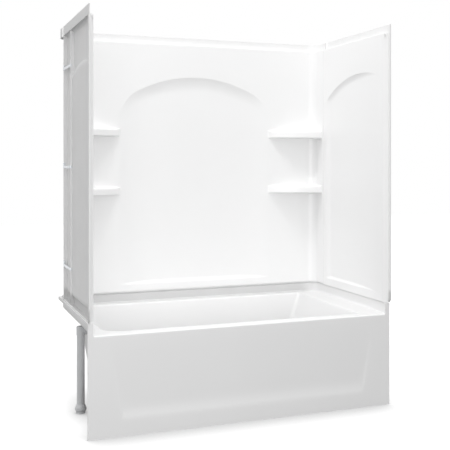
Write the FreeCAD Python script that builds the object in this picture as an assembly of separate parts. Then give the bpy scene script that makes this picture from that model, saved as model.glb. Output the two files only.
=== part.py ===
# A moulded bath with a three-piece wall surround for an alcove, with its drain and overflow.
# Millimetres. X runs to the right, Y to the back and Z up. The origin is on the floor, under the
# middle of the whole unit. Depths named "from the apron" are measured back from the apron's face.
import FreeCAD, Part
import math
import os

# Overall
width = 1524.0
depth = 800.0
flange_lead = 16.0
shell = 5.0
flange = 4.0
build_up = 28.0
corner_radius = 25.0

# Bath
deck_height = 452.0
ledge_rise = 58.0
ledge_lip = 25.0
wall_overhang = 5.0
apron_return = 16.0
rim_radius = 9.0
apron_radius = 10.0
ear_radius = 4.0
deck_front = 66.0
deck_back = 18.0
deck_left = 60.0
deck_right = 118.0
basin_depth = 340.0
basin_corner = 95.0
basin_floor_corner = 125.0
basin_cove = 85.0
front_lean = 6.0
back_lean = 5.0
drain_end_lean = 8.5
rest_end_lean = 19.0

# Sunk panel in the apron
relief_foot = 78.0
relief_head_drop = 47.0
relief_foot_margin = 148.0
relief_head_margin = 94.0
relief_depth = 7.0
relief_sill = 38.0
relief_side = 22.0

# Timber bearers under the basin floor
bearer_from_drain = 165.0
bearer_from_rest_end = 140.0
bearer_width = 90.0
bearer_length = 400.0
bearer_edge = 4.0

# Wall panels
wall_seal = 4.0
seal_width = 14.0
wall_height = 1355.0
flange_rise = 41.0
flange_chamfer = 14.0
wall_edge_radius = 6.0
corner_return = 139.0
seam_gap = 3.0
seam_rib_inset = 4.0
stiffener_lead = 196.0
seam_seal_setback = 1.0
flange_notch = 32.0

# Sunk fields in the walls
arch_radius = 650.0
arch_drop = 179.0
back_field_depth = 20.0
back_scoop = 40.0
end_field_depth = 11.0
end_scoop = 16.0
field_rise = 42.0
soffit_run = 2.2
sill_run = 1.0
back_field_half = 430.0
end_field_front = 100.0
end_field_from_seam = 45.0
end_deepest_from_seam = 108.0
end_arch_from_seam = 418.0
rear_run = 6.0

# Corner shelves
shelf_rises = (886.0, 569.0)
shelf_thickness = 42.0
shelf_length = 299.0
shelf_reach = 100.0
shelf_bow = 20.0
shelf_top_radius = 12.0
shelf_foot_radius = 6.0

# Seam clips
clip_first_rise = 173.0
clip_pitch = 500.0
clip_count = 3
clip_height = 28.0
clip_strap = 14.0
clip_leg = 8.0
clip_sheet = 2.0
clip_gap = 1.0

# Drain
fit_gap = 0.2
drain_from_end = 275.0
drain_hole_radius = 26.0
drain_bore = 20.0
drain_body_radius = 23.5
drain_body_length = 46.0
drain_flange_radius = 36.0
drain_flange_height = 3.0
drain_flange_edge = 1.8
cross_bar_width = 8.0
cross_bar_height = 6.0
cross_bar_depth = 30.0
cross_bar_boss = 8.0
gasket_radius = 38.0
gasket_height = 5.0
fibre_radius = 37.0
fibre_height = 1.5
lock_nut_height = 11.0
lock_nut_flats = 66.0
lock_nut_sides = 6
pipe_radius = 19.05
pipe_wall = 1.55
tail_length = 57.0
tail_washer = 2.0
tail_lip = 2.0
tail_neck = 0.5
tail_neck_clear = 1.0
tail_nut_radius = 29.0
tail_nut_clear = 6.5
tail_nut_floor = 4.0

# Stopper
post_radius = 4.0
post_clear = 2.7
sleeve_gap = 0.3
sleeve_radius = 7.0
sleeve_clear = 6.7
cap_radius = 33.0
cap_height = 6.0
cap_brim = 3.0
cap_dome_radius = 26.4
cap_dome_drop = 1.0
cap_edge = 2.5
knob_radius = 11.0
knob_height = 14.0
knob_neck = 4.7
knob_flare = 3.5
knob_waist = 8.0
knob_edge = 3.0
seal_inner = 24.5
seal_outer = 31.0
seal_height = 2.5
seat_gap = 0.2

# Overflow
overflow_drop = 50.0
overflow_hole_radius = 27.0
overflow_pipe_from_end = 45.0
overflow_gasket = 4.0
overflow_gasket_bore = 28.0
elbow_flange = 6.0
elbow_flange_radius = 38.0
elbow_radius = 21.0
elbow_crown = 21.5
elbow_crown_edge = 5.0
elbow_branch_radius = 20.5
elbow_bore = 16.0
elbow_socket = 21.0
socket_grip = 11.0
cover_radius = 35.0
cover_height = 9.0
cover_sheet = 2.0
cover_edge = 4.0
cover_slot_width = 34.0
cover_slot_height = 8.0
screw_spread = 20.0
screw_radius = 2.0
screw_head_radius = 4.2
screw_head_height = 2.2
screw_head_edge = 1.5
coupling_clear = 0.5
coupling_radius = 22.5
coupling_height = 28.0
coupling_lower_socket = 12.0
coupling_stop_height = 2.0
slip_washer_height = 5.0
slip_nut_radius = 28.0
slip_nut_grip = 16.5
slip_nut_hood = 8.5
slip_nut_band = 8.0
slip_nut_shoulder = 6.0
slip_nut_wall = 2.0
slip_nut_ribs = 12
slip_nut_rib_radius = 1.5

# Planes that several pieces share
left = -width / 2
right = width / 2
apron_y = -(depth - flange_lead) / 2
stud_y = apron_y + depth
face_left = left + build_up
face_right = right - build_up
face_back = stud_y - build_up
ledge_height = deck_height + ledge_rise
wall_foot = ledge_height + wall_seal
wall_top = wall_foot + wall_height
flange_top = wall_top + flange_rise
field_foot = wall_foot + field_rise
arch_peak = wall_top - arch_drop
seam_back = stud_y - corner_return
seam_front = seam_back - seam_gap
stiffener_y = seam_front - stiffener_lead
basin_left = face_left + deck_left
basin_right = face_right - deck_right
basin_front = apron_y + deck_front
basin_back = face_back - deck_back
floor_top = deck_height - basin_depth
floor_under = floor_top - shell
middle_y = (basin_front + basin_back) / 2
drain_x = left + drain_from_end
drain_end_slope = math.tan(math.radians(drain_end_lean))
rest_end_slope = math.tan(math.radians(rest_end_lean))
overflow_height = deck_height - overflow_drop
reach = 4000.0
slack = 1.0
touch = 0.01


def at(x, y, z):
    return FreeCAD.Vector(x, y, z)


up = at(0, 0, 1)


def box(x0, x1, y0, y1, z0, z1):
    return Part.makeBox(x1 - x0, y1 - y0, z1 - z0, at(x0, y0, z0))


def rod(radius, x, y, z0, z1):
    return Part.makeCylinder(radius, z1 - z0, at(x, y, z0))


def ring(outer, inner, x, y, z0, z1):
    return rod(outer, x, y, z0, z1).cut(rod(inner, x, y, z0, z1))


def mirrored(shape):
    return shape.mirror(at(0, 0, 0), at(1, 0, 0))


def turned(points, x, y):
    """Solid turned about an upright axis from (radius, height) points."""
    corners = [at(x + radius, y, height) for radius, height in points]
    outline = Part.makePolygon(corners + corners[:1])
    return Part.Face(outline).revolve(at(x, y, 0), up, 360)


def edges_where(shape, test):
    return [edge for edge in shape.Edges if test(edge.BoundBox)]


def near(a, b):
    return abs(a - b) < touch


def behind(point, outward):
    """Half space that ends at a plane: a large block on the far side of its outward normal."""
    block = Part.makeBox(reach, reach, reach, at(-reach / 2, -reach / 2, -reach))
    block.Placement = FreeCAD.Placement(point, FreeCAD.Rotation(up, outward))
    return block


def rounded_rectangle(x0, x1, y0, y1, radius, z):
    """Wire of four straight runs and four quarter rounds."""
    diagonal = radius * (1 - math.sqrt(0.5))
    corners = [(x1, y0, -1, 1), (x1, y1, -1, -1), (x0, y1, 1, -1), (x0, y0, 1, 1)]
    arcs = []
    for number, (x, y, sx, sy) in enumerate(corners):
        along_x = at(x + sx * radius, y, z)
        along_y = at(x, y + sy * radius, z)
        middle = at(x + sx * diagonal, y + sy * diagonal, z)
        start, end = (along_x, along_y) if number % 2 == 0 else (along_y, along_x)
        arcs.append((start, middle, end))
    edges = []
    for number, (start, middle, end) in enumerate(arcs):
        edges.append(Part.Arc(start, middle, end).toShape())
        following = arcs[(number + 1) % len(arcs)][0]
        edges.append(Part.LineSegment(end, following).toShape())
    return Part.Wire(edges)


def room(grow, z0, z1):
    """Space inside the three finished walls, with rounded back corners, grown outwards by grow."""
    space = box(face_left - grow, face_right + grow, apron_y - reach, face_back + grow, z0, z1)
    corners = edges_where(space, lambda b: near(b.YMin, face_back + grow) and near(b.XMin, b.XMax))
    return space.makeFillet(corner_radius + grow, corners)


def alcove(inset, z0, z1):
    """Space between the studs behind the seam, with rounded back corners, drawn in by inset."""
    space = box(left + inset, right - inset, seam_back, stud_y - inset, z0, z1)
    corners = edges_where(space, lambda b: near(b.YMin, stud_y - inset) and near(b.XMin, b.XMax))
    return space.makeFillet(corner_radius + build_up - inset, corners)


def basin(grow):
    """Hollow of the basin, grown outwards by grow."""
    def outline(z):
        drop = deck_height - z
        x0 = basin_left + drop * drain_end_slope - grow
        x1 = basin_right - drop * rest_end_slope + grow
        y0 = basin_front + drop * math.tan(math.radians(front_lean)) - grow
        y1 = basin_back - drop * math.tan(math.radians(back_lean)) + grow
        radius = basin_corner + (basin_floor_corner - basin_corner) * drop / basin_depth + grow
        return rounded_rectangle(x0, x1, y0, y1, radius, z)
    foot = floor_top - grow
    hollow = Part.makeLoft([outline(foot), outline(deck_height + rim_radius)], True, True)
    return hollow.makeFillet(basin_cove + grow, edges_where(hollow, lambda b: near(b.ZMax, foot)))


def apron_relief():
    """Sunk panel in the apron: deepest above its foot and running out to nothing at its head."""
    relief_head = deck_height - relief_head_drop
    foot_left = left + relief_foot_margin
    foot_right = right - relief_foot_margin
    a = at(foot_left, apron_y, relief_foot)
    b = at(foot_right, apron_y, relief_foot)
    c = at(right - relief_head_margin, apron_y, relief_head)
    d = at(left + relief_head_margin, apron_y, relief_head)
    e = at(foot_left + relief_side, apron_y + relief_depth, relief_foot + relief_sill)
    f = at(foot_right - relief_side, apron_y + relief_depth, relief_foot + relief_sill)
    outlines = [(a, b, c, d), (a, b, f, e), (d, c, f, e), (a, e, d), (b, c, f)]
    faces = [Part.Face(Part.makePolygon(outline + outline[:1])) for outline in outlines]
    return Part.Solid(Part.Shell(faces))


def overflow_placed(shape):
    """Moves a shape from the overflow's own frame, X out of the bath wall into the basin."""
    wall_x = basin_left + (deck_height - overflow_height) * drain_end_slope
    turn = FreeCAD.Rotation(at(0, 1, 0), -drain_end_lean)
    shape.Placement = FreeCAD.Placement(at(wall_x, middle_y, overflow_height), turn)
    return shape


def overflow_rod(radius, x0, x1, y=0.0, z=0.0):
    return Part.makeCylinder(radius, x1 - x0, at(x0, y, z), at(1, 0, 0))


def bath():
    outside = box(left, right, apron_y, stud_y, 0, ledge_height)
    outside = outside.cut(room(wall_overhang, deck_height, ledge_height + slack))
    outside = outside.cut(basin(0))
    rim = edges_where(outside, lambda b: near(b.ZMin, deck_height) and near(b.ZMax, deck_height)
                      and b.XMin > face_left + slack and b.XMax < face_right - slack
                      and b.YMin > apron_y + slack and b.YMax < face_back - slack)
    outside = outside.makeFillet(rim_radius, rim)
    brow = edges_where(outside, lambda b: near(b.ZMin, deck_height) and near(b.YMax, apron_y))
    outside = outside.makeFillet(apron_radius, brow)
    ears = edges_where(outside, lambda b: near(b.ZMin, ledge_height) and near(b.YMax, apron_y))
    outside = outside.makeFillet(ear_radius, ears)
    outside = outside.cut(apron_relief())
    under_deck = deck_height - shell
    body = box(left - slack, right + slack, apron_y + shell, stud_y + slack, -slack, under_deck)
    body = body.cut(basin(shell))
    under_ledge = box(left + shell, right - shell, apron_y + shell, stud_y - shell,
                      under_deck - slack, ledge_height - shell)
    under_ledge = under_ledge.cut(room(wall_overhang + shell, 0, ledge_height))
    skirt = box(left - slack, right + slack, apron_y + shell, stud_y + slack,
                under_deck - slack, ledge_height - ledge_lip)
    skirt = skirt.cut(box(left + shell, right - shell, apron_y, stud_y - shell, 0, ledge_height))
    returns = box(left, left + shell, apron_y, apron_y + apron_return, 0, ledge_height)
    foot = box(left, right, apron_y, apron_y + apron_return, 0, shell)
    backed_relief = apron_relief().translated(at(0, shell, 0))
    kept = [returns, mirrored(returns), foot, backed_relief]
    tub = outside.cut(body.fuse([under_ledge, skirt]).cut(kept))
    drain_hole = rod(drain_hole_radius, drain_x, middle_y, floor_under - slack, floor_top + slack)
    overflow_hole = overflow_placed(overflow_rod(overflow_hole_radius, -2 * shell, 2 * shell))
    return tub.cut([drain_hole, overflow_hole])


def field(sunk, scoop, deepest, half_chord, arch_centre, rear, grow):
    """Sunk field of a wall whose face is the plane Y = 0, with depth along +Y, grown by grow.

    Its sides are those of a shallow upright cylinder that would be scoop deep, cut off flat at
    the depth sunk. An arched soffit closes it above, a sloping sill below and, where rear is
    given, a bevel at one side.
    """
    radius = (half_chord ** 2 + scoop ** 2) / (2 * scoop)
    sides = rod(radius + grow, deepest, scoop - radius, 0, flange_top)
    floor = box(-reach, reach, -reach, sunk + grow, 0, flange_top)
    front = shell
    length = front + sunk + 2 * shell
    at_face = arch_radius + grow * math.hypot(1, soffit_run)
    arch = Part.makeCone(at_face + front * soffit_run, at_face + (front - length) * soffit_run, length,
                         at(arch_centre, -front, arch_peak - arch_radius), at(0, 1, 0))
    down = at(0, sill_run, -1).normalize()
    sill = behind(at(deepest, 0, field_foot) + down * grow, down)
    hollow = sides.common(floor).common(arch).common(sill)
    if rear is not None:
        back = at(1, rear_run, 0).normalize()
        hollow = hollow.common(behind(at(rear, 0, arch_peak) + back * grow, back))
    return hollow


def back_field(grow):
    hollow = field(back_field_depth, back_scoop, 0, back_field_half, 0, None, grow)
    return hollow.translated(at(0, face_back, 0))


def left_field(grow):
    seam = seam_front - apron_y
    deepest = seam - end_deepest_from_seam
    half_chord = deepest - end_field_front
    hollow = field(end_field_depth, end_scoop, deepest, half_chord, seam - end_arch_from_seam,
                   seam - end_field_from_seam, grow)
    hollow.Placement = FreeCAD.Placement(at(face_left, apron_y, 0), FreeCAD.Rotation(up, 90))
    return hollow


def shelf_disc(grow):
    """Centre and radius of the bowed front edge of the right-hand shelves, seen from above."""
    tip = at(face_right - shelf_length, face_back, 0)
    end = at(face_right, face_back - shelf_reach, 0)
    chord = end - tip
    radius = (chord.Length ** 2 / 4 + shelf_bow ** 2) / (2 * shelf_bow)
    inward = at(-chord.y, chord.x, 0).normalize()
    centre = (tip + end) * 0.5 + inward * (radius - shelf_bow)
    return centre, radius + grow


def right_shelf(top, grow):
    """A corner shelf of the right-hand corner, and at a negative grow the hollow inside it."""
    centre, radius = shelf_disc(grow)
    slab = rod(radius, centre.x, centre.y, top - shelf_thickness - grow, top + grow)
    start = face_right - shelf_length - build_up
    shelf = slab.common(box(start, right + slack, seam_back - grow, stud_y + slack, 0, flange_top))
    if grow < 0:
        return shelf
    for height, radius in ((top, shelf_top_radius), (top - shelf_thickness, shelf_foot_radius)):
        front = edges_where(shelf, lambda b: near(b.ZMin, height) and near(b.ZMax, height)
                            and b.XLength > shelf_length / 2 and b.YLength > slack)
        shelf = shelf.makeFillet(radius, front)
    return shelf


def back_wall():
    outside = alcove(0, wall_foot, wall_top)
    outside = outside.cut(room(0, wall_foot - slack, wall_top + slack))
    brow = edges_where(outside, lambda b: near(b.ZMin, wall_top) and b.XMin > left + slack
                       and b.XMax < right - slack and b.YMax < stud_y - slack and b.YMin < face_back + slack
                       and not near(b.YMax, seam_back))
    outside = outside.makeFillet(wall_edge_radius, brow)
    outside = outside.cut(back_field(0))
    inside = box(left - slack, right + slack, seam_back + shell, stud_y + slack,
                 wall_foot + shell, wall_top - shell)
    inside = inside.cut(room(shell, wall_foot, wall_top)).cut(back_field(shell))
    for rise in shelf_rises:
        shelf = right_shelf(wall_foot + rise, 0)
        hollow = right_shelf(wall_foot + rise, -shell)
        outside = outside.fuse([shelf, mirrored(shelf)])
        inside = inside.fuse([hollow, mirrored(hollow)])
    panel = outside.cut(inside)
    trim = box(left - slack, left + seam_rib_inset, seam_back - slack, seam_back + shell,
               wall_foot + shell, wall_top - shell)
    panel = panel.cut([trim, mirrored(trim)])
    rim = alcove(0, wall_top - shell, flange_top).cut(alcove(flange, wall_top - shell, flange_top))
    notch = box(left, right, seam_back, seam_back + flange_notch / 2, wall_top - shell, flange_top)
    panel = panel.fuse(rim.cut(notch)).removeSplitter()
    return panel.common(alcove(0, wall_foot, flange_top))


def left_end_wall():
    outside = box(left, face_left, apron_y, seam_front, wall_foot, wall_top)
    brow = edges_where(outside, lambda b: near(b.XMin, face_left)
                       and (near(b.ZMin, wall_top) or near(b.YMax, apron_y)))
    outside = outside.makeFillet(wall_edge_radius, brow)
    outside = outside.cut(left_field(0))
    inside = box(left - slack, face_left - shell, apron_y + shell, seam_front - shell,
                 wall_foot + shell, wall_top - shell)
    inside = inside.cut(left_field(shell))
    panel = outside.cut(inside)
    trim = box(left - slack, left + seam_rib_inset, seam_front - shell, seam_front + slack,
               wall_foot + shell, wall_top - shell)
    stiffener = box(left + seam_rib_inset, face_left - shell / 2, stiffener_y, stiffener_y + shell,
                    wall_foot + shell / 2, wall_top - shell / 2)
    panel = panel.cut(trim).fuse(stiffener.cut(left_field(0)))
    lead_y = apron_y - flange_lead
    top_flange = box(left, left + flange, lead_y, seam_front - flange_notch / 2, wall_top - shell, flange_top)
    front_flange = box(left, left + flange, lead_y, apron_y + shell, wall_foot, flange_top)
    slope = at(0, -1, -1).normalize()
    corner = behind(at(left, lead_y + flange_chamfer, wall_foot), slope)
    return panel.fuse([top_flange, front_flange.common(corner)]).removeSplitter()


def left_corner_seal():
    return box(left + seam_rib_inset, face_left - seam_seal_setback, seam_front, seam_back,
               wall_foot, wall_top)


def left_corner_clips():
    """Clips that grip the two ribs of the seam, each with a strap to the end panel's stiffener."""
    clips = []
    y0 = seam_front - shell
    y1 = seam_back + shell
    x0 = left + seam_rib_inset
    x1 = x0 + clip_leg
    for i in range(clip_count):
        z0 = wall_foot + clip_first_rise + i * clip_pitch
        z1 = z0 + clip_height
        grip = box(x0 - clip_sheet, x1, y0 - clip_sheet, y1 + clip_sheet, z0, z1)
        grip = grip.cut(box(x0, x1, y0, y1, z0, z1))
        strap_top = z0 + clip_strap
        strap = box(x0 - clip_sheet, x0, stiffener_y - clip_sheet, y0, z0, strap_top)
        foot = box(x0 - clip_sheet, face_left - end_field_depth - shell - clip_gap,
                   stiffener_y - clip_sheet, stiffener_y, z0, strap_top)
        clips.append(grip.fuse([strap, foot]).removeSplitter())
    return Part.makeCompound(clips)


def left_wall_seal():
    margin = (build_up - seal_width) / 2
    return box(left + margin, face_left - margin, apron_y + margin, seam_front, ledge_height, wall_foot)


def back_wall_seal():
    margin = (build_up - seal_width) / 2
    return alcove(margin, ledge_height, wall_foot).cut(room(margin, ledge_height, wall_foot))


def bearer(share):
    """Timber across the unit that carries the basin floor, at a share of the way from the drain."""
    first = drain_x + bearer_from_drain
    last = basin_right - basin_depth * rest_end_slope - bearer_from_rest_end
    x = first + (last - first) * share
    block = box(x - bearer_width / 2, x + bearer_width / 2, middle_y - bearer_length / 2,
                middle_y + bearer_length / 2, 0, floor_under)
    return block.makeChamfer(bearer_edge, edges_where(block, lambda b: b.ZLength > floor_under - slack))


# Heights of the drain's pieces, from the basin floor down
drain_seat = floor_top + drain_flange_height
drain_foot = drain_seat - drain_body_length
gasket_foot = floor_under - gasket_height
fibre_foot = gasket_foot - fibre_height
lock_nut_foot = fibre_foot - lock_nut_height
cross_bar_top = drain_seat - cross_bar_depth
tail_top = drain_foot - tail_washer
tail_foot = tail_top - tail_length


def drain_flange():
    """Flanged drain body with the cross bar that carries the stopper's post."""
    rim = rod(drain_flange_radius, drain_x, middle_y, floor_top, drain_seat)
    rim = rim.makeFillet(drain_flange_edge, edges_where(rim, lambda b: near(b.ZMin, drain_seat)))
    body = rim.fuse(rod(drain_body_radius, drain_x, middle_y, drain_foot, floor_top))
    body = body.cut(rod(drain_bore, drain_x, middle_y, drain_foot - slack, drain_seat + slack))
    bar_foot = cross_bar_top - cross_bar_height
    bar = box(drain_x - drain_bore - slack, drain_x + drain_bore + slack, middle_y - cross_bar_width / 2,
              middle_y + cross_bar_width / 2, bar_foot, cross_bar_top)
    bar = bar.fuse(rod(cross_bar_boss, drain_x, middle_y, bar_foot, cross_bar_top))
    bar = bar.cut(rod(post_radius + fit_gap / 2, drain_x, middle_y, bar_foot, cross_bar_top))
    return body.fuse(bar).removeSplitter()


def drain_gasket():
    return ring(gasket_radius, drain_body_radius + fit_gap, drain_x, middle_y, gasket_foot, floor_under)


def drain_fibre_ring():
    return ring(fibre_radius, drain_body_radius + fit_gap, drain_x, middle_y, fibre_foot, gasket_foot)


def drain_lock_nut():
    corner = lock_nut_flats / 2 / math.cos(math.pi / lock_nut_sides)
    points = []
    for number in range(lock_nut_sides):
        turn = 2 * math.pi * number / lock_nut_sides
        x = drain_x + corner * math.cos(turn)
        y = middle_y + corner * math.sin(turn)
        points.append(at(x, y, lock_nut_foot))
    nut = Part.Face(Part.makePolygon(points + points[:1])).extrude(at(0, 0, lock_nut_height))
    return nut.cut(rod(drain_body_radius + fit_gap, drain_x, middle_y, lock_nut_foot, fibre_foot))


def drain_tailpiece():
    lip_foot = tail_top - tail_lip
    neck_foot = lip_foot - tail_nut_floor - tail_neck_clear
    tube = rod(pipe_radius, drain_x, middle_y, tail_foot, neck_foot)
    neck = rod(pipe_radius - tail_neck, drain_x, middle_y, neck_foot, lip_foot)
    lip = rod(drain_body_radius - fit_gap, drain_x, middle_y, lip_foot, tail_top)
    return tube.fuse([neck, lip]).cut(rod(pipe_radius - pipe_wall, drain_x, middle_y, tail_foot, tail_top))


def drain_tail_washer():
    return ring(drain_body_radius - fit_gap, pipe_radius - pipe_wall, drain_x, middle_y, tail_top, drain_foot)


def drain_tail_nut():
    lip_foot = tail_top - tail_lip
    nut_top = lock_nut_foot - tail_nut_clear
    nut = rod(tail_nut_radius, drain_x, middle_y, lip_foot - tail_nut_floor, nut_top)
    nut = nut.cut(rod(drain_body_radius + fit_gap, drain_x, middle_y, lip_foot, nut_top))
    return nut.cut(rod(pipe_radius + fit_gap, drain_x, middle_y, lip_foot - tail_nut_floor, lip_foot))


# Heights of the stopper, closed
seal_foot = drain_seat + seat_gap
cap_foot = seal_foot + seal_height
cap_top = cap_foot + cap_height


def stopper_post():
    return rod(post_radius, drain_x, middle_y, cross_bar_top - cross_bar_height, cap_foot - post_clear)


def stopper_sleeve():
    foot = cross_bar_top + sleeve_clear
    return ring(sleeve_radius, post_radius + sleeve_gap, drain_x, middle_y, foot, cap_foot)


def stopper_seal():
    return ring(seal_outer, seal_inner, drain_x, middle_y, seal_foot, cap_foot)


def stopper_cap():
    """Domed cap with a waisted knob to pull it up by."""
    neck = cap_top + knob_neck
    knob_top = cap_top + knob_height
    brim_top = cap_foot + cap_brim
    points = [(0, cap_foot), (cap_radius, cap_foot), (cap_radius, brim_top),
              (cap_dome_radius, cap_top - cap_dome_drop), (knob_waist, cap_top), (knob_waist, neck),
              (knob_radius, neck + knob_flare), (knob_radius, knob_top), (0, knob_top)]
    cap = turned(points, drain_x, middle_y)
    crown = edges_where(cap, lambda b: near(b.ZMin, knob_top) and b.XLength > slack)
    cap = cap.makeFillet(knob_edge, crown)
    brim = edges_where(cap, lambda b: near(b.ZMin, brim_top) and near(b.ZMax, brim_top))
    return cap.makeFillet(cap_edge, brim)


# Places of the overflow's pieces along its own axis, from the inner face of the bath wall
wall_along = shell * math.cos(math.radians(drain_end_lean))
gasket_end = -wall_along - overflow_gasket
elbow_end = gasket_end - elbow_flange
pipe_x = left + overflow_pipe_from_end
elbow_z = overflow_height + (gasket_end + elbow_end) / 2 * math.sin(math.radians(drain_end_lean))
socket_foot = elbow_z - elbow_socket
tube_top = socket_foot + socket_grip


def overflow_cover():
    plate = overflow_rod(cover_radius, 0, cover_height)
    plate = plate.makeFillet(cover_edge, edges_where(plate, lambda b: near(b.XMin, cover_height)))
    inner = overflow_rod(cover_radius - cover_sheet, -slack, cover_height - cover_sheet)
    inner = inner.makeFillet(cover_edge - cover_sheet,
                             edges_where(inner, lambda b: near(b.XMin, cover_height - cover_sheet)))
    slot = box(-slack, cover_height - cover_edge, -cover_slot_width / 2, cover_slot_width / 2,
               -cover_radius - slack, -cover_radius + cover_slot_height)
    holes = [overflow_rod(screw_radius + fit_gap, 0, cover_height, y) for y in (-screw_spread, screw_spread)]
    return overflow_placed(plate.cut([inner, slot] + holes))


def overflow_screws():
    """Two dome-head screws from the cover into the elbow's flange."""
    screws = []
    for y in (-screw_spread, screw_spread):
        head = overflow_rod(screw_head_radius, cover_height, cover_height + screw_head_height, y)
        crown = edges_where(head, lambda b: near(b.XMin, cover_height + screw_head_height))
        head = head.makeFillet(screw_head_edge, crown)
        screws.append(overflow_placed(head.fuse(overflow_rod(screw_radius, elbow_end, cover_height, y))))
    return Part.makeCompound(screws)


def overflow_gasket_ring():
    outer = overflow_rod(elbow_flange_radius, gasket_end, -wall_along)
    return overflow_placed(outer.cut(overflow_rod(overflow_gasket_bore, gasket_end, -wall_along)))


def overflow_elbow():
    """Elbow from the bath wall to the upright pipe, with a flange in the plane of the wall."""
    plate = overflow_placed(overflow_rod(elbow_flange_radius, elbow_end, gasket_end))
    flange_x = plate.BoundBox.Center.x
    axis_start = at(pipe_x, middle_y, elbow_z)
    crown = elbow_z + elbow_crown
    socket = rod(elbow_radius, pipe_x, middle_y, socket_foot, crown)
    socket = socket.makeFillet(elbow_crown_edge, edges_where(socket, lambda b: near(b.ZMin, crown)))
    branch = Part.makeCylinder(elbow_branch_radius, flange_x - pipe_x, axis_start, at(1, 0, 0))
    room_side = overflow_placed(overflow_rod(reach, gasket_end, reach))
    body = plate.fuse([socket, branch]).cut(room_side)
    drop = rod(elbow_bore, pipe_x, middle_y, socket_foot - slack, elbow_z)
    mouth = rod(pipe_radius + fit_gap / 2, pipe_x, middle_y, socket_foot - slack, tube_top)
    bend = Part.makeSphere(elbow_bore, axis_start)
    across = Part.makeCylinder(elbow_bore, 2 * (flange_x - pipe_x), axis_start, at(1, 0, 0))
    holes = [overflow_placed(overflow_rod(screw_radius + fit_gap, elbow_end - slack, gasket_end + slack, y))
             for y in (-screw_spread, screw_spread)]
    return body.cut([drop, mouth, bend, across] + holes)


# Heights of the pipe's pieces at the floor
coupling_stop = coupling_clear + coupling_lower_socket
coupling_top = coupling_clear + coupling_height
tube_foot = coupling_stop + coupling_stop_height
washer_top = coupling_top + slip_washer_height


def overflow_tube():
    return ring(pipe_radius, pipe_radius - pipe_wall, pipe_x, middle_y, tube_foot, tube_top)


def floor_coupling():
    """Socket at the floor: the pipe sits in it from above, the house's pipe from below."""
    body = rod(coupling_radius, pipe_x, middle_y, coupling_clear, coupling_top)
    upper = rod(pipe_radius + fit_gap, pipe_x, middle_y, tube_foot, coupling_top)
    lower = rod(pipe_radius + fit_gap / 2, pipe_x, middle_y, coupling_clear, coupling_stop)
    bore = rod(pipe_radius - pipe_wall, pipe_x, middle_y, coupling_clear, coupling_top)
    return body.cut([upper, lower, bore])


def slip_washer():
    return ring(coupling_radius - fit_gap, pipe_radius + fit_gap / 2, pipe_x, middle_y,
                coupling_top, washer_top)


def slip_nut():
    foot = coupling_top - slip_nut_grip
    top = washer_top + slip_nut_hood
    band_foot = foot + slip_nut_shoulder
    band_top = band_foot + slip_nut_band
    thread = coupling_radius + fit_gap
    bore = pipe_radius + fit_gap
    points = [(thread, foot), (thread + slip_nut_wall, foot), (slip_nut_radius, band_foot),
              (slip_nut_radius, band_top), (bore + slip_nut_wall, top), (bore, top),
              (bore, washer_top), (thread, washer_top)]
    nut = turned(points, pipe_x, middle_y)
    grooves = []
    for number in range(slip_nut_ribs):
        turn = 2 * math.pi * number / slip_nut_ribs
        x = pipe_x + slip_nut_radius * math.cos(turn)
        y = middle_y + slip_nut_radius * math.sin(turn)
        grooves.append(rod(slip_nut_rib_radius, x, y, foot, top))
    return nut.cut(grooves)


end_wall = left_end_wall()
end_seal = left_wall_seal()
corner_seal = left_corner_seal()
clips = left_corner_clips()
parts = {
    "bath": bath(),
    "back_wall": back_wall(),
    "left_end_wall": end_wall,
    "right_end_wall": mirrored(end_wall),
    "back_wall_seal": back_wall_seal(),
    "left_wall_seal": end_seal,
    "right_wall_seal": mirrored(end_seal),
    "left_corner_seal": corner_seal,
    "right_corner_seal": mirrored(corner_seal),
    "left_corner_clips": clips,
    "right_corner_clips": mirrored(clips),
    "left_bearer": bearer(0),
    "middle_bearer": bearer(1 / 2),
    "right_bearer": bearer(1),
    "drain_flange": drain_flange(),
    "drain_gasket": drain_gasket(),
    "drain_fibre_ring": drain_fibre_ring(),
    "drain_lock_nut": drain_lock_nut(),
    "drain_tailpiece": drain_tailpiece(),
    "drain_tail_washer": drain_tail_washer(),
    "drain_tail_nut": drain_tail_nut(),
    "stopper_post": stopper_post(),
    "stopper_sleeve": stopper_sleeve(),
    "stopper_seal": stopper_seal(),
    "stopper_cap": stopper_cap(),
    "overflow_cover": overflow_cover(),
    "overflow_screws": overflow_screws(),
    "overflow_gasket": overflow_gasket_ring(),
    "overflow_elbow": overflow_elbow(),
    "overflow_tube": overflow_tube(),
    "overflow_slip_nut": slip_nut(),
    "overflow_slip_washer": slip_washer(),
    "floor_coupling": floor_coupling(),
}

os.makedirs("parts", exist_ok=True)
for name, shape in parts.items():
    shape.exportStep(os.path.join("parts", name + ".step"))
    size = shape.BoundBox
    print(f"{name}: {len(shape.Solids)} solids, valid {shape.isValid()}, {shape.Volume / 1000:.1f} cm3, "
          f"x {size.XMin:.1f} to {size.XMax:.1f}, y {size.YMin:.1f} to {size.YMax:.1f}, "
          f"z {size.ZMin:.1f} to {size.ZMax:.1f}")
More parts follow.
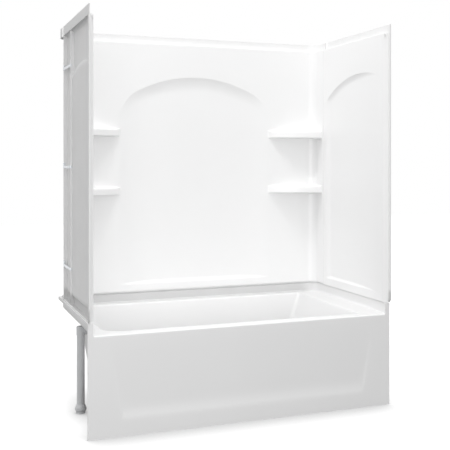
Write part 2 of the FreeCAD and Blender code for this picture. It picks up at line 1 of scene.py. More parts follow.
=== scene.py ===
# A white moulded bath under a three-piece wall surround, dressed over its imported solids.
# The dictionaries give millimetres. X runs to the right, Y to the back and Z up.
import bpy
import bmesh
import math
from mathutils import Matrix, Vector


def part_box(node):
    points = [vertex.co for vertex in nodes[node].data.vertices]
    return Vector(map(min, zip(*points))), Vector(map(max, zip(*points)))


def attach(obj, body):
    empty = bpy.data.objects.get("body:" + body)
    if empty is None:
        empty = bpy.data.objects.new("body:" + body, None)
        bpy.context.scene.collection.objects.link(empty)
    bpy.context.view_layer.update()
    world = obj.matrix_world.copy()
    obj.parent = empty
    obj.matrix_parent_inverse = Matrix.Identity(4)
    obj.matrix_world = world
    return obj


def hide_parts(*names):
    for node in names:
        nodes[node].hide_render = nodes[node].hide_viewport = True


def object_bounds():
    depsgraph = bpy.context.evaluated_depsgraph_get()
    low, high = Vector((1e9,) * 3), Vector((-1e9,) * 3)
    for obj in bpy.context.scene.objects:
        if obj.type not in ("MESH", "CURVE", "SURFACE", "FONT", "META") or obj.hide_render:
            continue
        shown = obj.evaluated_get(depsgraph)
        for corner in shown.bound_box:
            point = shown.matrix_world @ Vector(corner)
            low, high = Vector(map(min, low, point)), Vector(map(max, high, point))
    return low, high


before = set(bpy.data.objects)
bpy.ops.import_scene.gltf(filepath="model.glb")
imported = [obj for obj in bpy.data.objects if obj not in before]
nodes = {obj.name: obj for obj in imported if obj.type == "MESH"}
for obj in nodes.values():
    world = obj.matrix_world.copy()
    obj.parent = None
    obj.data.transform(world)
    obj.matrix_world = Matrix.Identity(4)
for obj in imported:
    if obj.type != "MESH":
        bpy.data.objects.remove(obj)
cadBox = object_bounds()
mm = 0.001
quarter = [math.radians(15 * i) for i in range(7)]  # steps of every quarter round
print("frame:", len(nodes), "solids")


def boxOf(node):
    # lowest and highest corner of a node at rest, in millimetres
    return [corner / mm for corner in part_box(node)]


def linear(hexText):
    # sRGB hex to the linear values that shader sockets take
    values = [int(hexText[i:i + 2], 16) / 255 for i in (0, 2, 4)]
    return tuple(v / 12.92 if v <= 0.04045 else ((v + 0.055) / 1.055) ** 2.4 for v in values) + (1.0,)


def addNode(tree, kind, settings=None, links=None):
    # a number or a socket's name sets that input, any other name sets a property of the node
    node = tree.nodes.new(kind)
    for key, value in (settings or {}).items():
        if isinstance(key, int) or key in node.inputs:
            node.inputs[key].default_value = value
        else:
            setattr(node, key, value)
    for key, socket in (links or {}).items():
        tree.links.new(socket, node.inputs[key])
    return node


def newFinish(name):
    finish = bpy.data.materials.new(name)
    finish.use_nodes = True
    tree = finish.node_tree
    place = addNode(tree, "ShaderNodeTexCoord").outputs["Object"]
    return finish, tree, place


noiseSpan = (0.3, 0.7)  # most of a noise's values lie between these


def coat(tree, place, size, tones, sheen, relief, span=(0.0, 1.0)):
    # tones mix the two colours, sheen moves the roughness between its limits, and relief is the fine bump
    colours = {"data_type": "RGBA", 6: linear(size["pale"]), 7: linear(size["deep"])}
    tint = addNode(tree, "ShaderNodeMix", colours, {0: tones})
    # painted shade: where the size gives one, a flat grey replaces the colour on the near side of an edge
    # band along one axis, measured from the middle
    if "paintedShade" in size:
        way = addNode(tree, "ShaderNodeSeparateXYZ", None, {0: place}).outputs[size["paintedShadeWay"]]
        away = addNode(tree, "ShaderNodeMath", {"operation": "ABSOLUTE"}, {0: way}).outputs[0]
        low, high = [edge * mm for edge in size["paintedShadeEdge"]]
        above = addNode(tree, "ShaderNodeMapRange", {"From Min": low, "From Max": high}, {"Value": away})
        tint = addNode(tree, "ShaderNodeMix", {"data_type": "RGBA", 6: linear(size["paintedShade"])},
                       {0: above.outputs[0], 7: tint.outputs[2]})
    smooth, dull = size["rough"]
    limits = {"From Min": span[0], "From Max": span[1], "To Min": smooth, "To Max": dull}
    rough = addNode(tree, "ShaderNodeMapRange", limits, {"Value": sheen})
    fine = {"Strength": 1.0, "Distance": size["relief"] * mm}
    bump = addNode(tree, "ShaderNodeBump", fine, {"Height": relief})
    skin = tree.nodes["Principled BSDF"]
    tree.links.new(tint.outputs[2], skin.inputs["Base Color"])
    tree.links.new(rough.outputs[0], skin.inputs["Roughness"])
    tree.links.new(bump.outputs[0], skin.inputs["Normal"])


# Glass-filled composite pressed in a polished mould: an even, slightly wavy satin gloss
mouldedFace = dict(pale="F1F1F1", deep="EEEEEE", cloud=400, drift=300, rough=(0.28, 0.30), grain=9,
                   relief=0.012)
# The wall panels: the same composite, a little whiter than the bath
wallFace = dict(mouldedFace, pale="F7F7F7", deep="F5F5F5")
# The riser under the back wall: a rougher skin, with painted shade that greys it between its two corners for
# the shade under the wall's foot
ledgeRiserPaintedShade = dict(mouldedFace, rough=(0.4, 0.5), paintedShade="DCDCDC", paintedShadeWay="X", paintedShadeEdge=(650, 745))
# The moulding's open side, off the rougher half of the mould: dull, with the fibres just showing
mouldedBack = dict(pale="EFEFEF", deep="E9E9E9", cloud=90, drift=60, rough=(0.5, 0.6), grain=3, relief=0.05)
# The wall panels' open side, with painted shade: a grey strip along the foot for the shade in the hollow
# there
panelBackWithShade = dict(mouldedBack, paintedShade="CCCCCC", paintedShadeWay="Z", paintedShadeEdge=(560, 582))
# EPDM gasket strip, extruded: dull and pale, with a fine skin
gasketStrip = dict(pale="E9E9E9", deep="E0E0E1", cloud=12, drift=8, rough=(0.6, 0.78), grain=1.2, relief=0.05)
# Moulded black rubber washers: matt, with mould dust
rubberWasher = dict(pale="2B2C2D", deep="1F2021", cloud=10, drift=6, rough=(0.6, 0.8), grain=1.0, relief=0.04)
# Red vulcanised fibre, punched from sheet: dry and faintly mottled
fibreSheet = dict(pale="8A3A2C", deep="6E2A20", cloud=4, drift=3, rough=(0.65, 0.85), grain=0.8, relief=0.05)


def plainFinish(name, size):
    # cloudy colour, roughness that drifts over the surface, and a fine relief
    finish, tree, place = newFinish(name)
    noises = []
    for key, detail in (("cloud", 3.0), ("drift", 4.0), ("grain", 2.0)):
        spacing = {"Scale": 1000 / size[key], "Detail": detail}
        noises.append(addNode(tree, "ShaderNodeTexNoise", spacing, {"Vector": place}).outputs[0])
    coat(tree, place, size, *noises, span=noiseSpan)
    return finish


# Unplasticised PVC pipe: grey, with drawn streaks along the extruded length
pvcPipe = dict(pale="E2E3E4", deep="D6D8DA", streak=2.5, length=120, rough=(0.34, 0.46), relief=0.03)


def pvcFinish(name, size):
    finish, tree, place = newFinish(name)
    across = 1000 / size["streak"]
    stretch = {"Scale": (across, across, 1000 / size["length"])}
    drawn = addNode(tree, "ShaderNodeMapping", stretch, {"Vector": place}).outputs[0]
    streak = addNode(tree, "ShaderNodeTexNoise", {"Scale": 1.0, "Detail": 3.0}, {"Vector": drawn}).outputs[0]
    coat(tree, place, size, streak, streak, streak)
    return finish


# Zinc-coated spring steel: a cool grey spangle of small crystals, softly shiny
zincSteel = dict(pale="E6E8EA", deep="CFD3D7", cell=5, rough=(0.32, 0.5), relief=0.01)
# Chromium on brass: bright, with faint wiping marks
chromePlate = dict(pale="E4E6E8", deep="D8DADD", cell=14, rough=(0.07, 0.14), relief=0.002)
# Turned brass, uncoated: warm and a little dulled
turnedBrass = dict(pale="D2B067", deep="B8944C", cell=6, rough=(0.24, 0.38), relief=0.006)


def metalFinish(name, size):
    finish, tree, place = newFinish(name)
    tree.nodes["Principled BSDF"].inputs["Metallic"].default_value = 1.0
    scale = 1000 / size["cell"]
    cell = addNode(tree, "ShaderNodeTexVoronoi", {"Scale": scale}, {"Vector": place})
    shade = addNode(tree, "ShaderNodeSeparateColor", None, {0: cell.outputs["Color"]}).outputs[0]
    wipe = addNode(tree, "ShaderNodeTexNoise", {"Scale": scale, "Detail": 5.0}, {"Vector": place}).outputs[0]
    coat(tree, place, size, shade, wipe, wipe, noiseSpan)
    return finish


# Sawn pine: yearly rings 6 mm apart about a heart below the timber, drawn out along its length
sawnPine = dict(pale="E0C08E", deep="B98B52", ring=6, heart=-140, fibre=1.5, length=60, fibreShare=0.3,
                rough=(0.62, 0.8), relief=0.15)
ringSpacing = 314  # a ring pattern of scale 1 has its rings this far apart


def pineFinish(name, size):
    finish, tree, place = newFinish(name)
    centred = addNode(tree, "ShaderNodeMapping", {"Location": (0, 0, -size["heart"] * mm)}, {"Vector": place})
    pattern = {"wave_type": "RINGS", "rings_direction": "Y", "Scale": ringSpacing / size["ring"],
               "Distortion": 2.5, "Detail": 2.0, "Detail Scale": 0.6}
    rings = addNode(tree, "ShaderNodeTexWave", pattern, {"Vector": centred.outputs[0]}).outputs["Fac"]
    thin = 1000 / size["fibre"]
    stretch = {"Scale": (thin, 1000 / size["length"], thin)}
    drawn = addNode(tree, "ShaderNodeMapping", stretch, {"Vector": place}).outputs[0]
    fibre = addNode(tree, "ShaderNodeTexNoise", {"Scale": 1.0, "Detail": 3.0}, {"Vector": drawn}).outputs[0]
    both = addNode(tree, "ShaderNodeMix", {0: size["fibreShare"]}, {2: rings, 3: fibre}).outputs[0]
    coat(tree, place, size, both, fibre, both)
    return finish


bathFinish = plainFinish("mouldedComposite", mouldedFace)
wallFinish = plainFinish("mouldedCompositeWall", wallFace)
backFinish = plainFinish("mouldedCompositeBack", mouldedBack)
riserShadeFinish = plainFinish("mouldedCompositeRiserPaintedShade", ledgeRiserPaintedShade)
panelBackShadeFinish = plainFinish("mouldedCompositePanelBackShade", panelBackWithShade)
stripFinish = plainFinish("extrudedGasket", gasketStrip)
washerFinish = plainFinish("mouldedRubber", rubberWasher)
fibreFinish = plainFinish("vulcanisedFibre", fibreSheet)
pipeFinish = pvcFinish("extrudedPvc", pvcPipe)
clipFinish = metalFinish("zincCoatedSteel", zincSteel)
chromeFinish = metalFinish("chromiumPlate", chromePlate)
brassFinish = metalFinish("turnedBrass", turnedBrass)
timberFinish = pineFinish("sawnPine", sawnPine)
print("finishes made")


def spread(start, end, step):
    count = max(1, math.ceil(abs(end - start) / step))
    return [start + (end - start) * i / count for i in range(count + 1)]


def softMin(a, b, blend):
    near = max(blend - abs(a - b), 0) / blend
    return min(a, b) - near * near * blend / 4


def addPatch(points, faces, rows, closed=False):
    # rows of equal length become quads, and a closed patch joins its last column to its first
    start = len(points)
    width = len(rows[0])
    for row in rows:
        points.extend(row)
    for r in range(len(rows) - 1):
        for c in range(width if closed else width - 1):
            a = start + r * width + c
            b = start + r * width + (c + 1) % width
            faces.append((a, b, b + width, a + width))


def makePiece(name, points, faces, edges=()):
    mesh = bpy.data.meshes.new(name)
    mesh.from_pydata([(x * mm, y * mm, z * mm) for x, y, z in points], list(edges), faces)
    piece = bpy.data.objects.new(name, mesh)
    bpy.context.scene.collection.objects.link(piece)
    return piece


def closeSeams(piece):
    # patches meet point on point, so their doubles are merged
    work = bmesh.new()
    work.from_mesh(piece.data)
    bmesh.ops.remove_doubles(work, verts=work.verts, dist=0.01 * mm)
    bmesh.ops.dissolve_degenerate(work, dist=0.005 * mm, edges=work.edges)
    work.to_mesh(piece.data)
    work.free()


def applyAll(piece):
    graph = bpy.context.evaluated_depsgraph_get()
    made = bpy.data.meshes.new_from_object(piece.evaluated_get(graph), depsgraph=graph)
    piece.modifiers.clear()
    worn = piece.data
    piece.data = made
    bpy.data.meshes.remove(worn)


def smoothSkin(piece, degrees):
    piece.data.shade_smooth()
    piece.data.set_sharp_from_angle(angle=math.radians(degrees))
    weighted = piece.modifiers.new("weightedNormals", "WEIGHTED_NORMAL")
    weighted.keep_sharp = True
    applyAll(piece)


def joinMesh(piece, added):
    # takes a second closed mesh into the piece
    work = bmesh.new()
    work.from_mesh(piece.data)
    work.from_mesh(added.data)
    work.to_mesh(piece.data)
    work.free()
    bpy.data.meshes.remove(added.data)


def panelFrom(name, columns):
    # a panel's face from its columns of points
    points = []
    faces = []
    addPatch(points, faces, [list(row) for row in zip(*columns)])
    panel = makePiece(name, points, faces)
    closeSeams(panel)
    return panel


def backBar(rings):
    # a closed bar moulded on to the back of a shell, from the rings of points along it
    points = []
    faces = []
    addPatch(points, faces, rings, closed=True)
    around = len(rings[0])
    faces += [tuple(range(around)), tuple(range(len(points) - around, len(points)))]
    bar = makePiece("bar", points, faces)
    work = bmesh.new()
    work.from_mesh(bar.data)
    bmesh.ops.recalc_face_normals(work, faces=work.faces)
    for face in work.faces:
        face.material_index = 1
    work.to_mesh(bar.data)
    work.free()
    return bar


def dullFaces(piece, isDull, index=1):
    # faces that come off a rougher part of the mould
    for face in piece.data.polygons:
        if isDull(face.center / mm):
            face.material_index = index


def dress(piece, body, slotName, *replaced):
    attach(piece, body)
    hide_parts(*replaced)


def pressShell(piece, node, finishes, thickness, bars=()):
    # the moulded skin gets its wall behind the face, and the wall's far side the duller back
    for finish in finishes:
        piece.data.materials.append(finish)
    wall = piece.modifiers.new("wall", "SOLIDIFY")
    wall.thickness = thickness * mm
    wall.offset = -1
    wall.use_even_offset = True
    wall.material_offset = 1
    applyAll(piece)
    for corner in piece.data.vertices:
        for axis in range(3):
            corner.co[axis] = min(max(corner.co[axis], cadBox[0][axis]), cadBox[1][axis])
    for bar in bars:
        joinMesh(piece, bar)
    smoothSkin(piece, degrees=32)
    dress(piece, "unit", "composite", node)
    print(piece.name, "made:", len(piece.data.polygons), "faces")


fieldEase = 3  # two slopes of a sunk field run into each other over this depth
# how close the rows and columns of the wall panels' faces lie
panelMesh = dict(footGap=4, footStep=9, sillGap=1, sillStep=2, sillRise=33, plainFrom=45, plainStep=26,
                 archSteps=26, archLift=1.5, bevelStep=2, notchGap=0.1, seamStep=6, lipStep=4, shelfStep=8)


def archHeight(across, size, field):
    # a flat arc, which on the back wall turns down more steeply towards its two ends
    out = abs(across - field["arch"])
    height = field["archCentre"] + math.sqrt(size["archRadius"] ** 2 - out ** 2)
    if "archTail" in size:
        height -= size["archTail"] * max(0, out / size["archStraight"] - 1) ** 3
    return height


def sunkDepth(across, z, size, field):
    # a flat-bottomed upright scoop that ends above in an arched cove and below in a sloping sill
    scoop = size["scoop"] * (1 - ((across - field["deepest"]) / field["half"]) ** 2)
    scoop = softMin(scoop, size["depth"], size["depth"] / 2)
    if "rear" in field:
        scoop = softMin(scoop, (field["rear"] - across) / size["rearRun"], fieldEase)
    scoop = -softMin(-scoop, 0, fieldEase)  # the sides ease into the wall
    if scoop == 0:
        return 0
    cove = size["cove"] * math.sqrt(scoop / size["depth"])  # narrower where the scoop is shallow
    slope = (archHeight(across + 1, size, field) - archHeight(across - 1, size, field)) / 2
    below = (archHeight(across, size, field) - z) / math.hypot(1, slope)
    rise = min(max(below / cove, 0), 1)
    sill = (z - field["foot"]) / size["sillRun"]
    return max(0, softMin(scoop * (1 - (1 - rise) ** 2), sill, fieldEase))


def footRows(foot, back, size, field):
    # height and outward step round the lower edge of the wall's foot and up past the sill of its field
    r = size["footEdge"]
    rows = [(foot, back)] + [(foot + r * (1 - math.cos(a)), r * (1 - math.sin(a))) for a in quarter]
    sill = field["foot"]
    gap = panelMesh["footGap"]
    heights = spread(foot + r + gap, sill - gap, panelMesh["footStep"])
    heights += spread(sill - panelMesh["sillGap"], sill + panelMesh["sillRise"], panelMesh["sillStep"])
    return rows + [(z, 0) for z in heights]


def headRows(under, arch, top, back, size):
    # rows that crowd up to the arch, and on over the wall's top edge to the top of the flange
    edge = size["edge"]
    archSteps = panelMesh["archSteps"]
    shares = [1 - (1 - i / archSteps) ** size["archCrowd"] for i in range(archSteps + 1)]
    rows = [(under + (arch - under) * share, 0) for share in shares]
    start = arch + panelMesh["archLift"]
    headSteps = size["headSteps"]
    rows += [(start + (top - edge - start) * i / headSteps, 0) for i in range(headSteps + 1)]
    rows += [(top - edge + edge * math.sin(a), edge * (1 - math.cos(a))) for a in quarter[1:]]
    return rows + [(top, back), (top + size["flange"], back)]


endWall = dict(buildUp=28, shell=5, edge=3, frontBevel=18, bevelEase=6, footEdge=3, seamEdge=3, rib=24,
               lead=16, chamfer=14, flange=41, notch=16, step=11, fieldFront=100, fieldRear=45, deepest=108,
               archBack=418, archRadius=650, archDrop=179, archFrom=430, archCrowd=1.7, headSteps=9, scoop=16,
               depth=11, cove=34, fieldRise=42, sillRun=1.1, rearRun=2.2, stiffenerLead=196, stiffenerStep=16,
               backFillet=18)


def endPanel(name, node, side, size):
    low, high = boxOf(node)
    faceX = side * (abs(low.x + high.x) / 2 - (high.x - low.x) / 2)
    front = low.y + size["lead"]
    seam = high.y
    foot = low.z
    top = high.z - size["flange"]
    back = size["buildUp"] - size["shell"]
    bevel = size["frontBevel"]
    ease = size["bevelEase"]
    field = dict(deepest=seam - front - size["deepest"], arch=seam - front - size["archBack"],
                 rear=seam - front - size["fieldRear"], foot=foot + size["fieldRise"],
                 archCentre=top - size["archDrop"] - size["archRadius"])
    field["half"] = field["deepest"] - size["fieldFront"]
    under = field["archCentre"] + size["archFrom"]
    lowRows = footRows(foot, back, size, field)
    plain = spread(field["foot"] + panelMesh["plainFrom"], under, panelMesh["plainStep"])
    lowRows += [(z, 0) for z in plain[:-1]]

    def rowsFor(across):
        # heights and outward steps, with rows that follow the arch
        held = min(max(across, size["fieldFront"]), field["rear"])
        return lowRows + headRows(under, archHeight(held, size, field), top, back, size)

    lip = size["seamEdge"]
    notchY = seam - size["notch"]
    gap = panelMesh["notchGap"]
    columns = [(front - size["lead"], back), (front, back)]
    bevelRun = spread(0, bevel + ease, panelMesh["bevelStep"])
    columns += [(front + y, -softMin(y - bevel, 0, ease)) for y in bevelRun]
    columns += [(y, 0) for y in spread(front + bevel + ease, notchY - gap, size["step"])[1:]]
    columns += [(y, 0) for y in spread(notchY + gap, seam - lip, panelMesh["seamStep"])]
    columns += [(seam - lip + lip * math.sin(a), lip * (1 - math.cos(a))) for a in quarter[1:]]
    columns += [(seam, size["rib"])]
    grid = []
    for number, (y, out) in enumerate(columns):
        line = []
        for z, rowOut in rowsFor(y - front):
            stepOut = max(out, rowOut)
            if stepOut == 0:
                stepOut = sunkDepth(y - front, z, size, field)
            tip = y
            if number == 0:
                tip = front - min(size["lead"], size["lead"] - size["chamfer"] + z - foot)
            if y > notchY:
                z = min(z, top)
            line.append((faceX + side * stepOut, tip, z))
        grid.append(line)
    if side > 0:
        grid.reverse()
    panel = panelFrom(name, grid)
    dullFaces(panel, lambda spot: spot.z > top or spot.y < front)

    # the upright stiffener behind, from inside the wall out to the plane of the seam ribs
    shell = size["shell"]
    rib = size["rib"]
    ribY = seam - size["stiffenerLead"]
    stiffener = []
    for z in spread(foot + shell, top - shell, size["stiffenerStep"]):
        near = sunkDepth(ribY - front, z, size, field) + shell / 2
        plan = [(near, ribY), (rib, ribY), (rib, ribY + shell), (near, ribY + shell)]
        stiffener.append([(faceX + side * out, y, z) for out, y in plan])
    # and the fillet behind, under the top return
    r = size["backFillet"]
    section = [(shell - 1, top - shell + 1)]
    section += [(shell + r * (1 - math.cos(a)), top - shell - r * (1 - math.sin(a))) for a in quarter]
    fillet = [[(faceX + side * out, y, z) for out, z in section] for y in (front + shell, seam - shell)]
    pressShell(panel, node, (wallFinish, panelBackShadeFinish), shell, [backBar(stiffener), backBar(fillet)])


backWall = dict(buildUp=28, corner=45, cornerSteps=12, cornerReturn=139, shell=5, edge=3, footEdge=9,
                seamEdge=3, rib=24, flange=41, notch=16, step=12, fieldHalf=430, archRadius=730,
                archStraight=330, archTail=1700, archDrop=179, archGap=16, archCrowd=1.6, headSteps=10,
                scoop=28, depth=14, cove=72, fieldRise=42, sillRun=1.05, shelfRises=(569, 886), shelfGap=12,
                shelfThick=42, shelfLength=299, shelfReach=100, shelfBow=20, shelfTop=12, shelfFoot=6,
                shelfFillet=7)


def shelfFront(share, tip, end, bow):
    # the bowed front edge, from its tip on the back wall to its end on the return
    chord = end - tip
    radius = (chord.length ** 2 / 4 + bow ** 2) / (2 * bow)
    inward = Vector((-chord.y, chord.x)).normalized()
    centre = (tip + end) / 2 + inward * (radius - bow)
    first = math.atan2(tip.y - centre.y, tip.x - centre.x)
    last = math.atan2(end.y - centre.y, end.x - centre.x)
    if last < first:
        last += 2 * math.pi
    angle = first + (last - first) * share
    return centre + radius * Vector((math.cos(angle), math.sin(angle)))


def shelfProfile(top, reach, size):
    # (height, reach from the wall) up one shelf: under side, front and top, with rounded edges
    fillet = size["shelfFillet"]
    ease = min(1, reach / (fillet + size["shelfTop"]))
    r = ease * fillet
    f = ease * size["shelfFoot"]
    t = ease * size["shelfTop"]
    under = top - size["shelfThick"]
    rows = [(under - r + r * math.sin(a), r * (1 - math.cos(a))) for a in quarter]
    rows += [(under + f - f * math.cos(a), reach - f + f * math.sin(a)) for a in quarter]
    rows += [(top - t + t * math.sin(a), reach - t + t * math.cos(a)) for a in quarter]
    rows += [(top + r * (1 - math.cos(a)), r * (1 - math.sin(a))) for a in quarter]
    return rows


def backPanel(name, node, size):
    low, high = boxOf(node)
    faceX = high.x - size["buildUp"]
    faceY = high.y - size["buildUp"]
    seam = high.y - size["cornerReturn"]
    foot = low.z
    top = high.z - size["flange"]
    back = size["buildUp"] - size["shell"]
    lip = size["seamEdge"]
    corner = size["corner"]
    field = dict(deepest=0, half=size["fieldHalf"], arch=0, foot=foot + size["fieldRise"],
                 archCentre=top - size["archDrop"] - size["archRadius"])
    tip = Vector((faceX - size["shelfLength"], faceY))
    end = Vector((faceX, faceY - size["shelfReach"]))

    # right-hand half of the wall in plan, from the seam to the middle: place, outward way, outward step
    half = [((faceX, seam), (1, 0), size["rib"])]
    half += [((faceX, seam + lip * (1 - math.cos(a))), (1, 0), lip * (1 - math.sin(a))) for a in quarter]
    notchY = seam + size["notch"]
    gap = panelMesh["notchGap"]
    places = spread(seam + lip, end.y, panelMesh["lipStep"])[1:] + [notchY - gap]
    places += spread(notchY + gap, faceY - corner, panelMesh["seamStep"])
    half += [((faceX, y), (1, 0), 0) for y in places]
    for i in range(1, size["cornerSteps"] + 1):
        a = math.radians(90 * i / size["cornerSteps"])
        way = (math.cos(a), math.sin(a))
        half.append(((faceX - corner + corner * way[0], faceY - corner + corner * way[1]), way, 0))
    places = spread(faceX - corner, tip.x, panelMesh["shelfStep"])[1:] + spread(tip.x, 0, size["step"])[1:]
    half += [((x, faceY), (0, 1), 0) for x in places]

    # shelf reach for each place: the wall between the shelf's two ends maps onto its front edge
    walls = [Vector(place) for place, way, out in half]
    runs = [0.0]
    for a, b in zip(walls, walls[1:]):
        runs.append(runs[-1] + (b - a).length)
    endRun = runs[min(range(len(walls)), key=lambda i: (walls[i] - end).length)]
    tipRun = runs[min(range(len(walls)), key=lambda i: (walls[i] - tip).length)]
    fronts = []
    for wall, run in zip(walls, runs):
        if endRun < run < tipRun:
            fronts.append(shelfFront((tipRun - run) / (tipRun - endRun), tip, end, size["shelfBow"]))
        else:
            fronts.append(wall)

    def rowsFor(x, reach):
        # height, outward step and shelf reach up one column of the panel
        arch = archHeight(min(abs(x), size["fieldHalf"]), size, field)
        gap = size["shelfGap"]
        rows = [(z, out, 0) for z, out in footRows(foot, back, size, field)]
        start = field["foot"] + panelMesh["plainFrom"]
        for level in [foot + rise for rise in size["shelfRises"]]:
            plain = spread(start, level - size["shelfThick"] - gap, panelMesh["plainStep"])
            rows += [(z, 0, 0) for z in plain]
            rows += [(z, 0, d) for z, d in shelfProfile(level, reach, size)]
            start = level + gap
        under = level + size["archGap"]
        return rows + [(z, out, 0) for z, out in headRows(under, arch, top, back, size)]

    grid = []
    for wall, front, (place, way, out) in zip(walls, fronts, half):
        toFront = front - wall
        reach = toFront.length
        if reach > 0:
            toFront.normalize()
        line = []
        for z, rowOut, d in rowsFor(wall.x, reach):
            stepOut = max(out, rowOut)
            if stepOut == 0 and way == (0, 1):
                stepOut = sunkDepth(wall.x, z, size, field)
            if wall.y < notchY and way == (1, 0):
                z = min(z, top)
            spot = wall + Vector(way) * stepOut + toFront * d
            line.append((spot.x, spot.y, z))
        grid.append(line)
    mirrored = [[(-x, y, z) for x, y, z in line] for line in grid]
    grid = mirrored + grid[-2::-1]
    panel = panelFrom(name, grid)
    dullFaces(panel, lambda spot: spot.z > top)
    pressShell(panel, node, (wallFinish, panelBackShadeFinish), size["shell"])


bathMould = dict(deck=456, ledgeOut=23, corner=52, cornerSteps=12, topBack=(2, 5), undercut=(6, 20),
                 cove=(14, 8), coveTip=6, coveRun=140, ledgeEdge=(4, 10), ledgeTip=2, lip=16, lipEdge=3,
                 riser=(8, 0.5, 80), apronEdge=7, apronReturn=16, shell=5, rim=9, rimCorner=(95, 18),
                 basin=(-674, 628, -326, 362), floorCorner=(125, 78), depth=344, leans=(6, 19, 5, 8.5),
                 floorCove=85, drain=(-487, 18, 30), reliefFoot=78, reliefHead=405, reliefMargins=(148, 94),
                 reliefDepth=4.3, reliefSill=42, reliefSide=15, reliefEase=1.2)
# how close the rows and columns of the bath's faces lie
bathMesh = dict(plainStep=13, reliefStep=4, endStep=8, rimSteps=6, wallSteps=9, coveSteps=10,
                floorShares=(0.03, 0.3, 0.55, 0.75, 0.9, 1.0), apronStep=12, sillStep=2.5, sillBelow=(18, 10),
                sillAbove=(6, 16))


def reliefEdge(z, halfWidth, size):
    # half width of the sunk panel in the apron at a height
    share = (z - size["reliefFoot"]) / (size["reliefHead"] - size["reliefFoot"])
    share = min(max(share, 0), 1)
    foot, head = size["reliefMargins"]
    return halfWidth - (foot + (head - foot) * share)


def reliefDepth(x, z, halfWidth, size):
    # deepest above the sill, eased at its outer edge, and running out to nothing at the head
    full = size["reliefDepth"]
    head = full * (size["reliefHead"] - z) / (size["reliefHead"] - size["reliefFoot"] - size["reliefSill"])
    sill = full * (z - size["reliefFoot"]) / size["reliefSill"]
    side = full * (reliefEdge(z, halfWidth, size) - abs(x)) / size["reliefSide"]
    inward = -softMin(0, -softMin(sill, side, fieldEase), size["reliefEase"])
    return max(0, softMin(head, inward, fieldEase))


